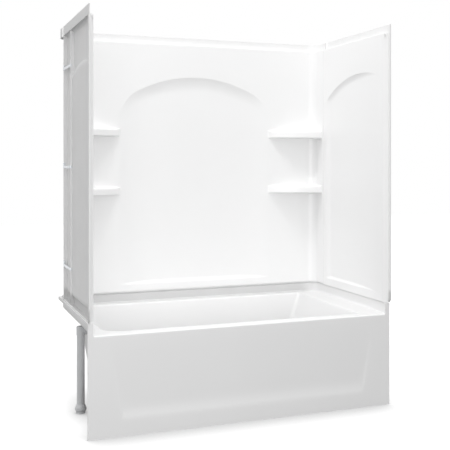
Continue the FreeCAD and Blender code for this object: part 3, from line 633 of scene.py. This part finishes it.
def bathShell(name, node, size):
    low, high = boxOf(node)
    front = low.y
    ledge = high.z
    deck = size["deck"]
    edge = size["apronEdge"]
    faceX = high.x - size["ledgeOut"]
    faceY = high.y - size["ledgeOut"]
    innerX = faceX - size["coveTip"]
    startY = front + edge
    sideLength = faceY - size["corner"] - startY
    reliefX = reliefEdge(size["reliefHead"], high.x, size)
    inside = reliefX - size["reliefSide"]
    plainStep = bathMesh["plainStep"]
    endStep = bathMesh["endStep"]
    halfAcross = spread(0, inside, plainStep) + spread(inside, reliefX, bathMesh["reliefStep"])[1:]
    halfAcross += spread(reliefX, innerX, endStep)[1:]
    acrossX = [-x for x in reversed(halfAcross[1:])] + halfAcross
    across = [(x + innerX) / (2 * innerX) for x in acrossX]
    along = [0.0] + [y / sideLength for y in spread(size["apronReturn"] - edge, sideLength, plainStep)]
    steps = size["cornerSteps"]
    turns = [math.radians(90 * i / steps) for i in range(1, steps)]

    def loop(x0, x1, y0, y1, radii, heights):
        # counter-clockwise round the opening: front, right, back and left side with four round corners
        fr, br, bl, fl = radii
        zf, zr, zb, zl = heights
        ring = [(x0 + fl + s * (x1 - fr - x0 - fl), y0, zf) for s in across]
        ring += [(x1 - fr + fr * math.sin(a), y0 + fr - fr * math.cos(a), zf + (zr - zf) * math.sin(a) ** 2)
                 for a in turns]
        ring += [(x1, y0 + fr + s * (y1 - br - y0 - fr), zr) for s in along]
        ring += [(x1 - br + br * math.cos(a), y1 - br + br * math.sin(a), zr + (zb - zr) * math.sin(a) ** 2)
                 for a in turns]
        ring += [(x1 - br - s * (x1 - br - x0 - bl), y1, zb) for s in across]
        ring += [(x0 + bl - bl * math.sin(a), y1 - bl + bl * math.cos(a), zb + (zl - zb) * math.sin(a) ** 2)
                 for a in turns]
        ring += [(x0, y0 + fl + s * (y1 - bl - y0 - fl), zl) for s in reversed(along)]
        ring += [(x0 + fl - fl * math.cos(a), y0 + fl - fl * math.sin(a), zl + (zf - zl) * math.sin(a) ** 2)
                 for a in turns]
        return ring

    leans = [math.radians(lean) for lean in size["leans"]]

    def basinLoop(offsets, heights):
        # offsets grow the basin's outline at the deck; the corners ease from the rim's to the floor's radius
        x0, x1, y0, y1 = size["basin"]
        drop = ((deck - sum(heights) / 4) / size["depth"]) ** 3
        extra = sum(o + (deck - z) * math.tan(a) for o, z, a in zip(offsets, heights, leans)) / 4
        ends = zip(size["rimCorner"], size["floorCorner"])
        left, right = [rim + (foot - rim) * drop + extra for rim, foot in ends]
        radii = (right, right, left, left)
        return loop(x0 - offsets[3], x1 + offsets[1], y0 - offsets[0], y1 + offsets[2], radii, heights)

    def arcLoop(radius, share, level, sign):
        # sign 1 rolls over the rim from the deck, sign -1 runs out of the floor up the wall
        offsets = []
        heights = []
        for lean in leans:
            turn = share * (math.pi / 2 - lean)
            tangent = radius * math.tan((math.pi / 2 - lean) / 2)
            offsets.append(sign * (tangent - radius * math.sin(turn)) - (deck - level) * math.tan(lean))
            heights.append(level - sign * radius * (1 - math.cos(turn)))
        return offsets, heights

    floor = deck - size["depth"]
    rimSteps = bathMesh["rimSteps"]
    coveSteps = bathMesh["coveSteps"]
    wallSteps = bathMesh["wallSteps"]
    rimRows = [arcLoop(size["rim"], i / rimSteps, deck, 1) for i in range(rimSteps + 1)]
    coveRows = [arcLoop(size["floorCove"], 1 - i / coveSteps, floor, -1) for i in range(coveSteps + 1)]
    wallRows = []
    for i in range(1, wallSteps):
        mixed = []
        for upperRow, lowerRow in zip(rimRows[-1], coveRows[0]):
            mixed.append([u + (w - u) * i / wallSteps for u, w in zip(upperRow, lowerRow)])
        wallRows.append(mixed)
    rows = [basinLoop(offsets, heights) for offsets, heights in rimRows + wallRows + coveRows]
    drainX, drainY, hole = size["drain"]
    lastRing = rows[-1]
    for share in bathMesh["floorShares"]:
        ring = []
        for x, y, z in lastRing:
            away = Vector((x - drainX, y - drainY))
            edgePoint = away.normalized() * hole
            spot = away + (edgePoint - away) * share
            ring.append((drainX + spot.x, drainY + spot.y, floor))
        rows.append(ring)

    # upstand and ledge round the left, back and right: place, outward way and height of the deck there
    brow = quarter[:0:-1]
    frontSteps = [(front + edge - edge * math.sin(a), deck - edge + edge * math.cos(a)) for a in brow]
    stations = [(faceX, y, 1, 0, base) for y, base in frontSteps]
    stations += [(faceX, startY + s * sideLength, 1, 0, deck) for s in along]
    r = size["corner"]
    cx = faceX - r
    cy = faceY - r
    ways = [(math.cos(a), math.sin(a)) for a in turns]
    stations += [(cx + r * wayX, cy + r * wayY, wayX, wayY, deck) for wayX, wayY in ways]
    stations += [(cx - s * 2 * cx, faceY, 0, 1, deck) for s in across]
    stations += [(-cx - r * wayY, cy + r * wayX, -wayY, wayX, deck) for wayX, wayY in ways]
    stations += [(-faceX, startY + s * sideLength, -1, 0, deck) for s in reversed(along)]
    stations += [(-faceX, y, -1, 0, base) for y, base in reversed(frontSteps)]

    def upstand(station):
        x, y, wayX, wayY, base = station
        reach = min((high.x - abs(x)) / max(abs(wayX), 1e-6), (high.y - y) / max(wayY, 1e-6))
        t = size["ledgeTip"]
        profile = [(reach, ledge - size["lip"])]
        profile += [(reach - t + t * math.cos(a), ledge - t + t * math.sin(a)) for a in quarter]
        ease = min(max((y - startY) / size["coveRun"], 0), 1)
        keys = ("topBack", "undercut", "cove", "ledgeEdge")
        mixed = [size[key][0] * wayX ** 2 + size[key][1] * wayY ** 2 for key in keys]
        topBack, setBack, cove = [value * ease for value in mixed[:3]]
        e = mixed[3]
        cove = max(cove, size["coveTip"])
        profile += [(topBack + e - e * math.sin(a), ledge - e + e * math.cos(a)) for a in quarter]
        profile += [(setBack - cove + cove * math.cos(a), base + cove - cove * math.sin(a)) for a in quarter]
        return [(x + wayX * out, y + wayY * out, z) for out, z in profile]

    rails = [upstand(station) for station in stations]
    skipped = len(frontSteps)
    frontEdge = [(x, startY, deck) for x in acrossX]
    deckEdge = frontEdge + [frontEdge[-1]] * len(turns)
    deckEdge += [rail[-1] for rail in rails[skipped:-skipped]] + [frontEdge[0]] * len(turns)
    points = []
    faces = []
    addPatch(points, faces, [deckEdge] + rows, closed=True)
    addPatch(points, faces, [list(row) for row in zip(*rails)])

    # apron with its sunk panel, the foot turned back, and the rounding up to the deck
    ears = spread(innerX, high.x, endStep)
    apronX = [-x for x in reversed(ears[1:])] + acrossX + ears[1:]
    sillHead = size["reliefFoot"] + size["reliefSill"]
    wideFoot, fineFoot = [size["reliefFoot"] - drop for drop in bathMesh["sillBelow"]]
    fineHead, wideHead = [sillHead + rise for rise in bathMesh["sillAbove"]]
    heights = spread(0, wideFoot, bathMesh["apronStep"]) + spread(fineFoot, fineHead, bathMesh["sillStep"])
    heights += spread(wideHead, deck - edge, bathMesh["apronStep"])
    returnY = [front + size["apronReturn"], startY] + [y for y, base in reversed(frontSteps)]
    apronRows = [[(x, y, 0) for x in apronX] for y in returnY[:-1]]

    def slide(x, z):
        # columns slide sideways so that two of them follow each slanting side of the sunk panel
        lean = reliefEdge(z, high.x, size) - reliefX
        share = min(abs(x) / inside, 1) if abs(x) <= reliefX else (innerX - abs(x)) / (innerX - reliefX)
        return x + math.copysign(1, x) * lean * max(share, 0)

    for z in heights:
        row = []
        for x in apronX:
            moved = slide(x, z)
            row.append((moved, front + reliefDepth(moved, z, high.x, size), z))
        apronRows.append(row)
    addPatch(points, faces, apronRows)
    browRows = [[(x, y, base) for x in acrossX] for y, base in frontSteps] + [frontEdge]
    addPatch(points, faces, browRows)

    # the two ears that close the ledge at the front, and the returns down the sides of the apron
    sideRows = heights + [ledge - size["lip"]]
    sideY = [y for y, base in frontSteps] + [startY, front + size["apronReturn"]]
    for side in (1, -1):
        rail = rails[0] if side > 0 else rails[-1]
        foot = [(side * x, front, deck - edge) for x in ears]
        ring = foot + rail[:-1]
        if side < 0:
            ring.reverse()
        start = len(points)
        points.extend(ring)
        faces.append(tuple(range(start, start + len(ring))))
        order = sideY if side > 0 else sideY[::-1]
        addPatch(points, faces, [[(side * high.x, y, z) for y in order] for z in sideRows])
    shell = makePiece(name, points, faces)
    closeSeams(shell)
    above, below, reach = size["riser"]  # from the deck up, from the ledge down, and forward at the corners
    riserFoot = deck + above
    riserHead = ledge - below
    riserFront = faceY - reach
    # painted shade: the riser's faces under the back wall take the finish greyed for the shade under the
    # wall's foot
    dullFaces(shell, lambda spot: riserFoot < spot.z < riserHead and spot.y > riserFront, 2)
    lipFoot = ledge - size["lip"]
    lipX = high.x - size["lipEdge"]
    lipY = high.y - size["lipEdge"]
    dullFaces(shell, lambda spot: spot.z > lipFoot and (abs(spot.x) > lipX or spot.y > lipY))
    pressShell(shell, node, (bathFinish, backFinish, riserShadeFinish), size["shell"])


endPanel("leftPanel", "left_end_wall", -1, endWall)
endPanel("rightPanel", "right_end_wall", 1, endWall)
backPanel("backPanel", "back_wall", backWall)
bathShell("bathShell", "bath", bathMould)


def newTree(name, sockets):
    tree = bpy.data.node_groups.new(name, "GeometryNodeTree")
    tree.interface.new_socket("Geometry", in_out="INPUT", socket_type="NodeSocketGeometry")
    keys = {}
    for label, kind in sockets.items():
        socket = tree.interface.new_socket(label, in_out="INPUT", socket_type="NodeSocket" + kind)
        keys[label] = socket.identifier
    tree.interface.new_socket("Geometry", in_out="OUTPUT", socket_type="NodeSocketGeometry")
    return tree, keys, addNode(tree, "NodeGroupInput").outputs


def closeTree(tree, made, given):
    # real geometry with its finish goes out
    real = addNode(tree, "GeometryNodeRealizeInstances", None, {"Geometry": made})
    done = addNode(tree, "GeometryNodeSetMaterial", None,
                   {"Geometry": real.outputs["Geometry"], "Material": given["Finish"]})
    addNode(tree, "NodeGroupOutput", None, {"Geometry": done.outputs["Geometry"]})


def rowTree():
    # repeats the piece it is given along a line
    tree, keys, given = newTree("repeatInRow", {"Count": "Int", "Step": "Vector", "Finish": "Material"})
    line = addNode(tree, "GeometryNodeMeshLine", None, {"Count": given["Count"], "Offset": given["Step"]})
    placed = addNode(tree, "GeometryNodeInstanceOnPoints", None,
                     {"Points": line.outputs["Mesh"], "Instance": given["Geometry"]})
    closeTree(tree, placed.outputs["Instances"], given)
    return tree, keys


def stripTree():
    # runs a flat strip with rounded edges along a level path of edges
    sockets = {"Width": "Float", "Height": "Float", "Round": "Float", "Finish": "Material"}
    tree, keys, given = newTree("stripAlongPath", sockets)
    path = addNode(tree, "GeometryNodeMeshToCurve", None, {"Mesh": given["Geometry"]})
    level = addNode(tree, "GeometryNodeSetCurveNormal", {"mode": "Z_UP"}, {"Curve": path.outputs["Curve"]})
    flat = addNode(tree, "GeometryNodeCurvePrimitiveQuadrilateral", None,
                   {"Width": given["Width"], "Height": given["Height"]})
    soft = addNode(tree, "GeometryNodeFilletCurve", {"mode": "POLY", "Count": 3},
                   {"Curve": flat.outputs["Curve"], "Radius": given["Round"]})
    run = addNode(tree, "GeometryNodeCurveToMesh", {"Fill Caps": True},
                  {"Curve": level.outputs["Curve"], "Profile Curve": soft.outputs["Curve"]})
    closeTree(tree, run.outputs["Mesh"], given)
    return tree, keys


def grow(piece, made, values):
    tree, keys = made
    modifier = piece.modifiers.new(tree.name, "NODES")
    modifier.node_group = tree
    for label, value in values.items():
        modifier[keys[label]] = value
    applyAll(piece)


def prism(name, outline, z0, z1):
    # upright bar with the given outline in plan, counter-clockwise
    count = len(outline)
    points = [(x, y, z) for z in (z0, z1) for x, y in outline]
    faces = [tuple(reversed(range(count))), tuple(range(count, 2 * count))]
    faces += [(i, (i + 1) % count, (i + 1) % count + count, i + count) for i in range(count)]
    return makePiece(name, points, faces)


def blockIn(name, node):
    # a plain block that fills a node's box
    low, high = boxOf(node)
    return prism(name, [(low.x, low.y), (high.x, low.y), (high.x, high.y), (low.x, high.y)], low.z, high.z)


def soften(piece, radius, segments):
    edge = piece.modifiers.new("edge", "BEVEL")
    edge.width = radius * mm
    edge.segments = segments
    edge.limit_method = "ANGLE"
    edge.angle_limit = math.radians(40)
    applyAll(piece)


inRow = rowTree()
alongPath = stripTree()
seamClips = dict(count=3, pitch=500, grip=28, strap=14, span=17, leg=9, sheet=2, bend=2.5, edge=0.5)


def fold(y, way, size):
    # outer and inner line of a bend in the sheet, as (distance inward from its outer face, y)
    r = size["bend"]
    radii = (r, r - size["sheet"])
    return [[(r - q * math.cos(a), y + way * (q * math.sin(a) - r)) for a in quarter] for q in radii]


def gripOutline(far, y0, y1, size):
    # folded sheet: a web with two legs that grip the ribs
    outer, inner = fold(y1, 1, size)
    upper = outer + [(far, y1), (far, y1 - size["sheet"])] + inner[::-1]
    return upper + [(u, y0 + y1 - y) for u, y in reversed(upper)]


def strapOutline(y0, y1, size):
    # the strap that runs on forward from the web, with a leg on the panel's stiffener
    outer, inner = fold(y0, -1, size)
    s = size["sheet"]
    leg = size["leg"]
    return [(0, y1)] + outer + [(leg, y0), (leg, y0 + s)] + inner[::-1] + [(s, y1)]


def clipPrism(name, outline, side, reach, z0, height):
    ring = [(side * (reach - u), y) for u, y in outline]
    area = sum(a[0] * b[1] - b[0] * a[1] for a, b in zip(ring, ring[1:] + ring[:1]))
    return prism(name, ring if area > 0 else ring[::-1], z0, z0 + height)


clipRows = {-1: ("left_corner_clips", "cornerClipsLeft"), 1: ("right_corner_clips", "cornerClipsRight")}
for side, (node, name) in clipRows.items():
    low, high = boxOf(node)
    reach = max(abs(low.x), abs(high.x))
    gripFront = high.y - seamClips["span"]
    grip = gripOutline(high.x - low.x, gripFront, high.y, seamClips)
    clips = clipPrism(name, grip, side, reach, low.z, seamClips["grip"])
    strap = strapOutline(low.y, gripFront + seamClips["bend"], seamClips)
    joinMesh(clips, clipPrism("strap", strap, side, reach, low.z, seamClips["strap"]))
    soften(clips, seamClips["edge"], segments=2)
    step = (0, 0, seamClips["pitch"] * mm)
    grow(clips, inRow, {"Count": seamClips["count"], "Step": step, "Finish": clipFinish})
    smoothSkin(clips, degrees=30)
    dress(clips, "unit", "clip_steel", node)
print("seam clips made")

bearerRow = dict(count=3, edge=4, segments=3)
timber = blockIn("bearers", "left_bearer")
soften(timber, bearerRow["edge"], bearerRow["segments"])
pitch = boxOf("middle_bearer")[0].x - boxOf("left_bearer")[0].x
grow(timber, inRow, {"Count": bearerRow["count"], "Step": (pitch * mm, 0, 0), "Finish": timberFinish})
smoothSkin(timber, degrees=30)
dress(timber, "unit", "bearer_wood", "left_bearer", "middle_bearer", "right_bearer")
print("bearers made")

wallStrips = dict(width=16, height=4, round=1.2, corner=45, buildUp=28, cornerRound=0.9, pathStep=60,
                  returnStep=30)


def wallStrip(name, node, path, size):
    strip = makePiece(name, path, [], [(i, i + 1) for i in range(len(path) - 1)])
    values = {key.capitalize(): size[key] * mm for key in ("width", "height", "round")}
    grow(strip, alongPath, dict(values, Finish=stripFinish))
    closeSeams(strip)
    smoothSkin(strip, degrees=40)
    dress(strip, "unit", "seal_rubber", node)


for name, node in (("leftStrip", "left_wall_seal"), ("rightStrip", "right_wall_seal")):
    low, high = boxOf(node)
    middle = (low + high) / 2
    path = [(middle.x, y, middle.z) for y in spread(low.y, high.y, wallStrips["pathStep"])]
    wallStrip(name, node, path, wallStrips)
low, high = boxOf("back_wall_seal")
lineX = high.x - wallStrips["width"] / 2
lineY = high.y - wallStrips["width"] / 2
bend = wallStrips["corner"] + wallStrips["buildUp"] / 2
level = (low.z + high.z) / 2
halfPath = [(lineX, y, level) for y in spread(low.y, lineY - bend, wallStrips["returnStep"])]
halfPath += [(lineX - bend + bend * math.cos(a), lineY - bend + bend * math.sin(a), level)
             for a in quarter[1:]]
halfPath += [(x, lineY, level) for x in spread(lineX - bend, 0, wallStrips["pathStep"])[1:]]
wallStrip("backStrip", "back_wall_seal", [(-x, y, z) for x, y, z in halfPath] + halfPath[-2::-1], wallStrips)
for name, node in (("leftCornerStrip", "left_corner_seal"), ("rightCornerStrip", "right_corner_seal")):
    strip = blockIn(name, node)
    soften(strip, wallStrips["cornerRound"], segments=3)
    strip.data.materials.append(stripFinish)
    smoothSkin(strip, degrees=40)
    dress(strip, "unit", "seal_rubber", node)
print("sealing strips made")

# the turned and moulded small parts keep their solids' shape, with a smooth skin and their own finish
smallParts = {
    "seal_rubber": (washerFinish, ["drain_gasket", "drain_tail_washer", "stopper_seal", "overflow_gasket",
                                   "overflow_slip_washer"]),
    "polished_chrome": (chromeFinish, ["drain_flange", "stopper_cap", "overflow_cover", "overflow_screws"]),
    "plain_brass": (brassFinish, ["drain_lock_nut", "stopper_post", "stopper_sleeve"]),
    "vulcanised_fibre": (fibreFinish, ["drain_fibre_ring"]),
    "waste_pvc": (pipeFinish, ["drain_tailpiece", "drain_tail_nut", "overflow_elbow", "overflow_tube",
                               "overflow_slip_nut", "floor_coupling"]),
}
bodyOf = {"stopper_cap": "stopper", "stopper_seal": "stopper", "stopper_sleeve": "stopper"}
for slotName, (finish, members) in smallParts.items():
    for node in members:
        piece = bpy.data.objects.new(node + "_skin", nodes[node].data.copy())
        bpy.context.scene.collection.objects.link(piece)
        if "custom_normal" in piece.data.attributes:
            piece.data.attributes.remove(piece.data.attributes["custom_normal"])
        closeSeams(piece)
        piece.data.materials.clear()
        piece.data.materials.append(finish)
        smoothSkin(piece, degrees=28)
        dress(piece, bodyOf.get(node, "unit"), slotName, node)
print("small parts dressed")

# Studio: white surround, a pale glowing floor that keeps a faint real shadow and has a painted soft shadow
# near the object, a wide lamp above and a weak one in front
studio = dict(ambient=0.88, floorReach=12000, floorBounce="3E3E3E", floorGlow=0.9, floorTone="888888",
              paintedShadowReach=220, paintedShadowFrom=0.5, paintedShadowGlow=0.42)
white = linear("FFFFFF")


def whiteRays(tree):
    # 1 for the rays that show the background: seen directly, mirrored or through glass
    path = addNode(tree, "ShaderNodeLightPath").outputs
    rays = path["Is Camera Ray"]
    for other in ("Is Glossy Ray", "Is Transmission Ray"):
        rays = addNode(tree, "ShaderNodeMath", {"operation": "MAXIMUM"}, {0: rays, 1: path[other]}).outputs[0]
    return rays


scene = bpy.context.scene
scene.view_settings.view_transform = "Standard"
world = bpy.data.worlds.new("whiteStudio")
scene.world = world
world.use_nodes = True
tree = world.node_tree
tree.nodes.clear()
soft = addNode(tree, "ShaderNodeBackground", {"Color": white, "Strength": studio["ambient"]})
shown = addNode(tree, "ShaderNodeBackground", {"Color": white, "Strength": 1.0})
mixed = addNode(tree, "ShaderNodeMixShader", None,
                {0: whiteRays(tree), 1: soft.outputs[0], 2: shown.outputs[0]})
addNode(tree, "ShaderNodeOutputWorld", None, {"Surface": mixed.outputs[0]})

floorFinish = bpy.data.materials.new("paleFloor")
floorFinish.use_nodes = True
tree = floorFinish.node_tree
tree.nodes.clear()
matt = addNode(tree, "ShaderNodeBsdfDiffuse", {"Color": linear(studio["floorBounce"])})
thin = addNode(tree, "ShaderNodeBsdfDiffuse", {"Color": linear(studio["floorTone"])})
# painted shadow: the floor's glow dims where occlusion finds the object close by
nearby = addNode(tree, "ShaderNodeAmbientOcclusion", {"samples": 16, "Distance": studio["paintedShadowReach"] * mm})
fade = {"From Min": studio["paintedShadowFrom"], "To Min": studio["paintedShadowGlow"], "To Max": studio["floorGlow"]}
shaded = addNode(tree, "ShaderNodeMapRange", fade, {"Value": nearby.outputs["AO"]})
glow = addNode(tree, "ShaderNodeEmission", {"Color": white}, {"Strength": shaded.outputs[0]})
lit = addNode(tree, "ShaderNodeAddShader", None, {0: thin.outputs[0], 1: glow.outputs[0]})
mixed = addNode(tree, "ShaderNodeMixShader", None,
                {0: whiteRays(tree), 1: matt.outputs[0], 2: lit.outputs[0]})
addNode(tree, "ShaderNodeOutputMaterial", None, {"Surface": mixed.outputs[0]})
reach = studio["floorReach"]
floorCorners = [(-reach, -reach, 0), (reach, -reach, 0), (reach, reach, 0), (-reach, reach, 0)]
floorPlane = makePiece("floor", floorCorners, [(0, 1, 2, 3)])
floorPlane.data.materials.append(floorFinish)

# places and sizes of the lamps are in metres
lamps = dict(overheadLamp=dict(watts=65, place=(-0.6, -0.7, 5.0), size=(1.1, 0.8), target=(0, -0.1, 0.9)),
             fillLamp=dict(watts=46, place=(-1.2, -4.0, 1.0), size=(3.0, 1.0), target=(0, 0, 0.9)))


def addLamp(name, watts, place, size, target):
    lamp = bpy.data.lights.new(name, "AREA")
    lamp.shape = "RECTANGLE"
    lamp.energy = watts
    lamp.size, lamp.size_y = size
    holder = bpy.data.objects.new(name, lamp)
    holder.location = place
    holder.rotation_euler = (Vector(target) - Vector(place)).to_track_quat("-Z", "Y").to_euler()
    scene.collection.objects.link(holder)


for name, lamp in lamps.items():
    addLamp(name, **lamp)

# the camera stands at a place in metres, and its focal length is in points of the picture
eye = dict(place=(-1.457, -3.910, 1.2175), turn=-20.77, focal=809.7, picture=450, sensor=36.0, shiftY=-0.1393)
camera = bpy.data.cameras.new("camera")
camera.sensor_width = eye["sensor"]
camera.lens = eye["focal"] / eye["picture"] * eye["sensor"]
camera.shift_y = eye["shiftY"]
cameraHolder = bpy.data.objects.new("camera", camera)
cameraHolder.location = eye["place"]
cameraHolder.rotation_euler = (math.radians(90), 0, math.radians(eye["turn"]))
scene.collection.objects.link(cameraHolder)
scene.camera = cameraHolder
print("studio and camera set")
